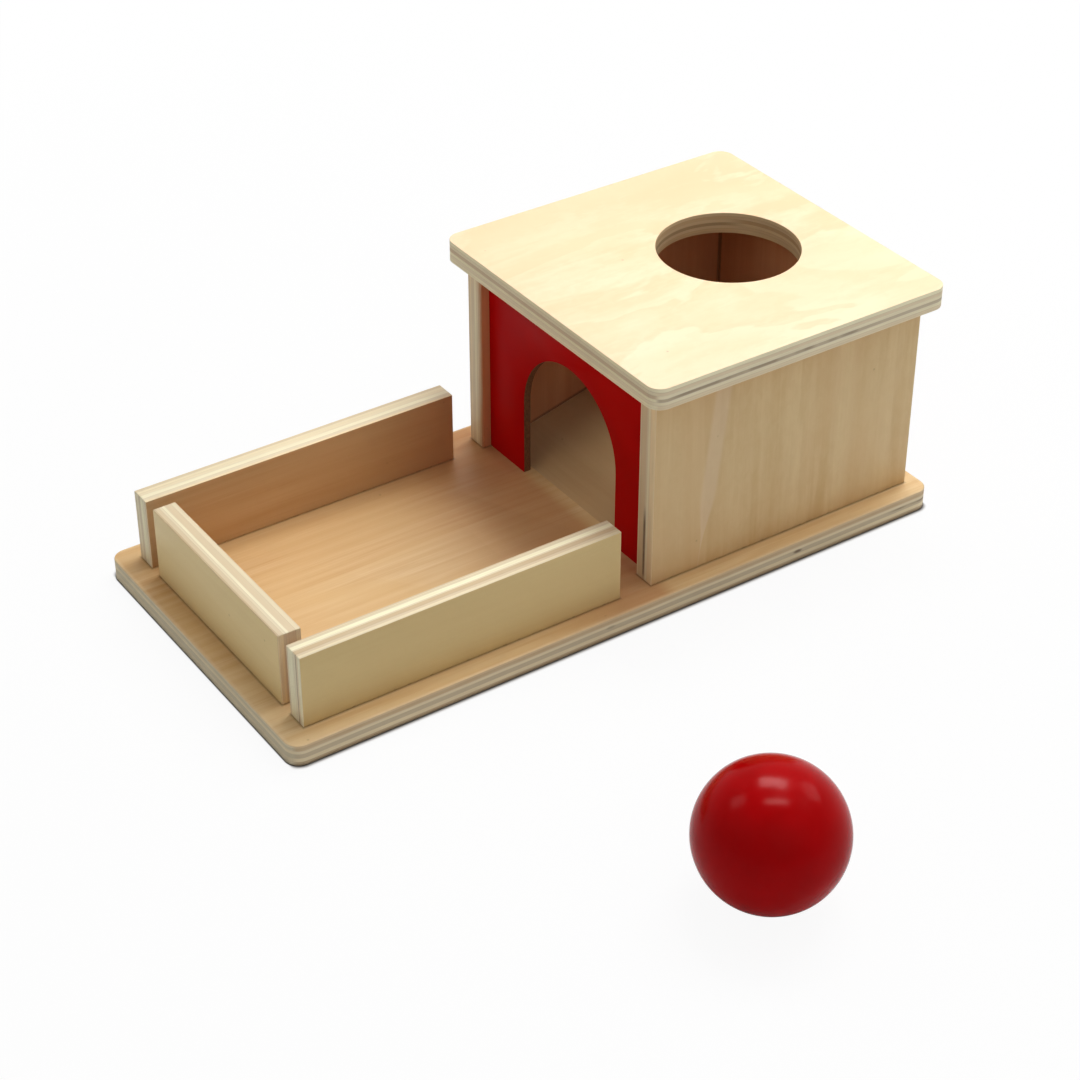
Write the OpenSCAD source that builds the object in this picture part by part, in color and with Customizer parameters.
// Object permanence box: a ball pushed through the hole in the lid rolls down a hidden ramp,
// comes out of the arched doorway and stops in the tray.
// The origin is the middle of the base board's underside. +X runs from the tray to the box,
// -Y is the near side, where the loose ball lies, and +Z is up.

/* [Boards] */
// Thickness of the tray rails and of the box's side walls
board_t = 9; // [7:0.5:12]
// Thickness of the base board
base_t = 8.5; // [7:0.5:12]
// Thickness of the lid board
lid_t = 8.5; // [7:0.5:12]
// Thickness of the thin front and back panels
panel_t = 3; // [2:0.5:4]
// Width of the small chamfer that eases every arris
arris = 0.6; // [0.2:0.1:1]

/* [Base] */
// Length of the base board, from the tray's end to the box's end
base_l = 277.5; // [260:0.5:320]
// Width of the base board
base_w = 135; // [120:0.5:160]
// Radius of the base board's corners
base_corner_r = 5.5; // [2:0.5:12]

/* [Tray] */
// Height of the three rails above the base board
rail_h = 29; // [15:0.5:40]
// Base left bare beyond the rails at the tray's end
end_margin = 9; // [3:0.5:15]
// Base left bare outside the rails and the side walls
side_margin = 8; // [3:0.5:12]
// Space between the end rail and each side rail
end_rail_gap = 5.5; // [0:0.5:12]
// Space between the side rails and the box
rail_box_gap = 13.5; // [2:0.5:25]

/* [Box] */
// Length of the box's side walls
box_l = 119.5; // [105:0.5:130]
// Height of the box's walls, from the base board to the lid
wall_h = 78.5; // [72:0.5:100]
// Base left bare behind the box
back_margin = 6; // [2:0.5:12]
// Distance of the front and back panels in from the side walls' ends
panel_recess = 3.7; // [1:0.1:8]
// Depth of the grooves in the side walls that hold the panels
groove_d = 3; // [1:0.5:4]
// Clearance of a panel in its groove, on each side
groove_clear = 0.1; // [0.05:0.05:0.2]

/* [Ball] */
// Diameter of the ball, too large to be swallowed
ball_d = 50; // [46:0.5:54]
// Place of the ball along the box, from the middle of the base
ball_x = -46.5; // [-110:0.5:110]
// Distance of the ball's centre out from the base board's near edge
ball_out = 135; // [40:1:200]

/* [Doorway] */
// How much wider the doorway is than the ball
door_side_room = 9; // [4:0.5:14]
// How much higher the doorway's crown is than the ball
door_head_room = 10.5; // [5:0.5:14]
// Sideways place of the doorway from the panel's middle
door_shift = -2; // [-4:0.5:4]

/* [Lid] */
// How far the lid reaches past the box at its front and back
lid_over_end = 5.7; // [0:0.1:10]
// How far the lid reaches past the box at its sides
lid_over_side = 7.2; // [0:0.1:10]
// Radius of the lid's corners
lid_corner_r = 5.6; // [2:0.1:12]
// How much wider the drop hole is than the ball
hole_room = 4; // [2:0.5:6]
// Place of the drop hole behind the lid's middle
hole_back = 17.3; // [0:0.1:22]
// Sideways place of the drop hole from the lid's middle
hole_shift = 1; // [-5:0.5:5]

/* [Ramp] */
// Thickness of the ramp board
ramp_t = 4; // [3:0.5:6]
// Fall of the ramp, in degrees
ramp_angle = 14.3; // [10:0.1:16]
// Bare base between the front panel's back and the ramp's feathered nose
nose_gap = 1.3; // [0.3:0.1:4]
// Thickness of the cleat under the ramp's high end
cleat_t = 9; // [5:0.5:15]

/* [Fixings] */
// Diameter of the countersunk screws' shanks
screw_d = 3; // [2.5:0.1:3.5]
// Diameter of the screws' heads
screw_head_d = 6; // [5:0.1:7]
// Length of the screws
screw_l = 25; // [18:1:30]
// How far the screws' heads lie below the base board's underside
head_sink = 0.4; // [0.2:0.1:1]
// Diameter of the dowels that locate the lid
dowel_d = 5; // [4:0.5:6]
// Length of the dowels
dowel_l = 16; // [12:1:20]
// Depth to which the dowels stand in the lid
dowel_in_lid = 5; // [3:0.5:6]

/* [Hidden] */
$fn = 96;
// Overrun of every cut past the face that it opens
over = 1;
// Clearance round the screws, and round the dowels and at their ends
screw_clear = 0.1;
dowel_clear = 0.1;
dowel_end_gap = 0.5;
// Length of the screws' points, and the width, length and depth of their cross recess
point_l = 4;
recess_w = 0.9;
recess_l = 3.4;
recess_d = 1.3;
// Places of the screws and dowels, as shares of the length of the piece they hold
rail_screw_shares = [0.16, 0.84];
wall_screw_shares = [0.14, 0.5, 0.86];
dowel_shares = [0.22, 0.78];

// Heights of the base's top, the rails' top, the lid's underside and the lid's top
base_z = base_t;
lid_z = base_z + wall_h;
lid_top = lid_z + lid_t;
// Ends of the side rails and of the box's walls
tray_x0 = -base_l / 2 + end_margin;
box_x1 = base_l / 2 - back_margin;
box_x0 = box_x1 - box_l;
rail_l = box_x0 - rail_box_gap - tray_x0;
// Middle plane of the side rails and side walls, and the clear width between them
side_y = base_w / 2 - side_margin - board_t / 2;
inner_w = 2 * side_y - board_t;
end_rail_l = inner_w - 2 * end_rail_gap;
// The panels' front faces and their width in the grooves
front_panel_x = box_x0 + panel_recess;
back_panel_x = box_x1 - panel_recess - panel_t;
panel_w = inner_w + 2 * (groove_d - groove_clear);
// Doorway and drop hole, sized by the ball
door_w = ball_d + door_side_room;
door_h = ball_d + door_head_room;
hole_d = ball_d + hole_room;
// The lid follows the box
lid_x = (box_x0 + box_x1) / 2;
lid_l = box_l + 2 * lid_over_end;
lid_w = base_w - 2 * side_margin + 2 * lid_over_side;
hole_x = lid_x + hole_back;
// Ramp: its nose on the base, its high end at the back panel, and the cleat's front face
ramp_x0 = front_panel_x + panel_t + nose_gap;
ramp_x1 = back_panel_x;
ramp_slope = tan(ramp_angle);
ramp_bevel = ramp_t / sin(ramp_angle);
cleat_x = ramp_x1 - cleat_t;
// Screws: places over the base, radii, and the top of their pilot holes
screw_r = screw_d / 2;
head_r = screw_head_d / 2;
sink_r = head_r + head_sink + screw_clear;
bore_r = screw_r + screw_clear;
pilot_top = head_sink + screw_l + screw_clear;
side_rail_screws = [for (s = rail_screw_shares) tray_x0 + s * rail_l];
side_wall_screws = [for (s = wall_screw_shares) box_x0 + s * box_l];
end_rail_screws = [for (s = rail_screw_shares) (s - 0.5) * end_rail_l];
end_rail_x = tray_x0 + board_t / 2;
screw_places = concat(
    [for (side = [-1, 1], x = side_rail_screws) [x, side * side_y]],
    [for (side = [-1, 1], x = side_wall_screws) [x, side * side_y]],
    [for (y = end_rail_screws) [end_rail_x, y]]
);
// Dowels: places over the walls, and the height at which they start
dowel_xs = [for (s = dowel_shares) box_x0 + s * box_l];
dowel_z = lid_z + dowel_in_lid - dowel_l;

// A rectangle with its corners cut off by the arris, centred
module eased_outline(w, h) {
    polygon([
        [-w / 2 + arris, -h / 2], [w / 2 - arris, -h / 2],
        [w / 2, -h / 2 + arris], [w / 2, h / 2 - arris],
        [w / 2 - arris, h / 2], [-w / 2 + arris, h / 2],
        [-w / 2, h / 2 - arris], [-w / 2, -h / 2 + arris]
    ]);
}

// A sawn board, centred, with all its edges eased
module eased_board(l, w, h) {
    intersection() {
        linear_extrude(h, center = true) eased_outline(l, w);
        rotate([90, 0, 0]) linear_extrude(w, center = true) eased_outline(l, h);
        rotate([90, 0, 90]) linear_extrude(l, center = true) eased_outline(w, h);
    }
}

// A board that lies flat on z = 0, with round corners and eased edges
module round_board(l, w, t, r) {
    translate([0, 0, t / 2]) {
        rotate([90, 0, 0]) linear_extrude(w - 2 * r, center = true) eased_outline(l, t);
        rotate([90, 0, 90]) linear_extrude(l - 2 * r, center = true) eased_outline(w, t);
    }
    for (x = [-1, 1], y = [-1, 1])
        translate([x * (l / 2 - r), y * (w / 2 - r), 0])
            rotate_extrude()
                polygon([[0, 0], [r - arris, 0], [r, arris], [r, t - arris], [r - arris, t], [0, t]]);
}

// The hole that a screw needs in the base board: a bore that ends in a countersink
module sunk_hole() {
    rotate_extrude()
        polygon([
            [0, -over], [sink_r + over, -over], [bore_r, sink_r - bore_r],
            [bore_r, base_t + over], [0, base_t + over]
        ]);
}

// The hole that a screw needs in the board above
module pilot_hole() {
    translate([0, 0, base_z - over]) cylinder(h = pilot_top - base_z + over, r = bore_r);
}

// One countersunk wood screw, its head's face at z = 0 and its point up
module wood_screw() {
    difference() {
        rotate_extrude()
            polygon([
                [0, 0], [head_r, 0], [screw_r, head_r - screw_r],
                [screw_r, screw_l - point_l], [0, screw_l]
            ]);
        for (turn = [0, 90])
            rotate([0, 0, turn])
                translate([-recess_l / 2, -recess_w / 2, -over])
                    cube([recess_l, recess_w, recess_d + over]);
    }
}

module base_board() {
    color("peru")
        difference() {
            round_board(base_l, base_w, base_t, base_corner_r);
            for (place = screw_places)
                translate(place) sunk_hole();
        }
}

// The short rail that stops the ball at the tray's end
module end_rail() {
    color("burlywood")
        difference() {
            translate([end_rail_x, 0, base_z + rail_h / 2]) eased_board(board_t, end_rail_l, rail_h);
            for (y = end_rail_screws)
                translate([end_rail_x, y, 0]) pilot_hole();
        }
}

// A long rail of the tray: side is -1 for the near one and 1 for the far one
module side_rail(side) {
    difference() {
        translate([tray_x0 + rail_l / 2, side * side_y, base_z + rail_h / 2])
            eased_board(rail_l, board_t, rail_h);
        for (x = side_rail_screws)
            translate([x, side * side_y, 0]) pilot_hole();
    }
}

module near_rail() {
    color("burlywood") side_rail(-1);
}

module far_rail() {
    color("burlywood") side_rail(1);
}

// A side wall of the box, with a groove for each panel and the holes of its screws and dowels
module side_wall(side) {
    difference() {
        translate([lid_x, side * side_y, base_z + wall_h / 2]) eased_board(box_l, board_t, wall_h);
        for (x = [front_panel_x, back_panel_x])
            translate([x - groove_clear, side < 0 ? -inner_w / 2 - groove_d : inner_w / 2 - over, base_z - over])
                cube([panel_t + 2 * groove_clear, groove_d + over, wall_h + 2 * over]);
        for (x = side_wall_screws)
            translate([x, side * side_y, 0]) pilot_hole();
        for (x = dowel_xs)
            translate([x, side * side_y, dowel_z - dowel_end_gap])
                cylinder(h = lid_z - dowel_z + dowel_end_gap + over, d = dowel_d + 2 * dowel_clear);
    }
}

module near_wall() {
    color("wheat") side_wall(-1);
}

module far_wall() {
    color("wheat") side_wall(1);
}

// The red front panel, with the arched doorway cut up from its foot
module arch_panel() {
    color("firebrick")
        difference() {
            translate([front_panel_x, -panel_w / 2, base_z]) cube([panel_t, panel_w, wall_h]);
            translate([front_panel_x - over, door_shift - door_w / 2, base_z - over])
                cube([panel_t + 2 * over, door_w, door_h - door_w / 2 + over]);
            translate([front_panel_x - over, door_shift, base_z + door_h - door_w / 2])
                rotate([0, 90, 0]) cylinder(h = panel_t + 2 * over, d = door_w);
        }
}

module back_panel() {
    color("firebrick")
        translate([back_panel_x, -panel_w / 2, base_z]) cube([panel_t, panel_w, wall_h]);
}

// The board that the ball rolls down: its nose is bevelled underneath, to lie flat on the base
module ramp_board() {
    ramp_run = ramp_x1 - ramp_x0;
    high_z = ramp_run * ramp_slope;
    color("tan")
        translate([ramp_x0, inner_w / 2, base_z])
            rotate([90, 0, 0]) linear_extrude(inner_w)
                polygon([
                    [0, 0], [ramp_bevel, 0], [ramp_run, high_z - ramp_t / cos(ramp_angle)],
                    [ramp_run, high_z]
                ]);
}

// The strip that carries the ramp's high end, its top planed to the ramp's slope
module ramp_cleat() {
    front_h = (cleat_x - ramp_x0 - ramp_bevel) * ramp_slope;
    color("burlywood")
        translate([cleat_x, inner_w / 2, base_z])
            rotate([90, 0, 0]) linear_extrude(inner_w)
                polygon([[0, 0], [cleat_t, 0], [cleat_t, front_h + cleat_t * ramp_slope], [0, front_h]]);
}

module lid_board() {
    color("cornsilk")
        difference() {
            translate([lid_x, 0, lid_z]) round_board(lid_l, lid_w, lid_t, lid_corner_r);
            translate([hole_x, hole_shift, lid_z - over]) cylinder(h = lid_t + 2 * over, d = hole_d);
            for (x = dowel_xs, side = [-1, 1])
                translate([x, side * side_y, lid_z - over])
                    cylinder(h = dowel_in_lid + dowel_end_gap + over, d = dowel_d + 2 * dowel_clear);
        }
}

// The screws that hold the rails and the walls from below
module base_screws() {
    color("silver")
        for (place = screw_places)
            translate([place.x, place.y, head_sink]) wood_screw();
}

// The dowels that stand in the walls' top edges and locate the lid
module lid_dowels() {
    color("tan")
        for (x = dowel_xs, side = [-1, 1])
            translate([x, side * side_y, dowel_z]) cylinder(h = dowel_l, d = dowel_d);
}

// The loose ball, lying on the surface that the box stands on
module ball() {
    color("darkred")
        translate([ball_x, -base_w / 2 - ball_out, ball_d / 2]) sphere(d = ball_d);
}

base_board();
end_rail();
near_rail();
far_rail();
near_wall();
far_wall();
arch_panel();
back_panel();
ramp_board();
ramp_cleat();
lid_board();
base_screws();
lid_dowels();
ball();
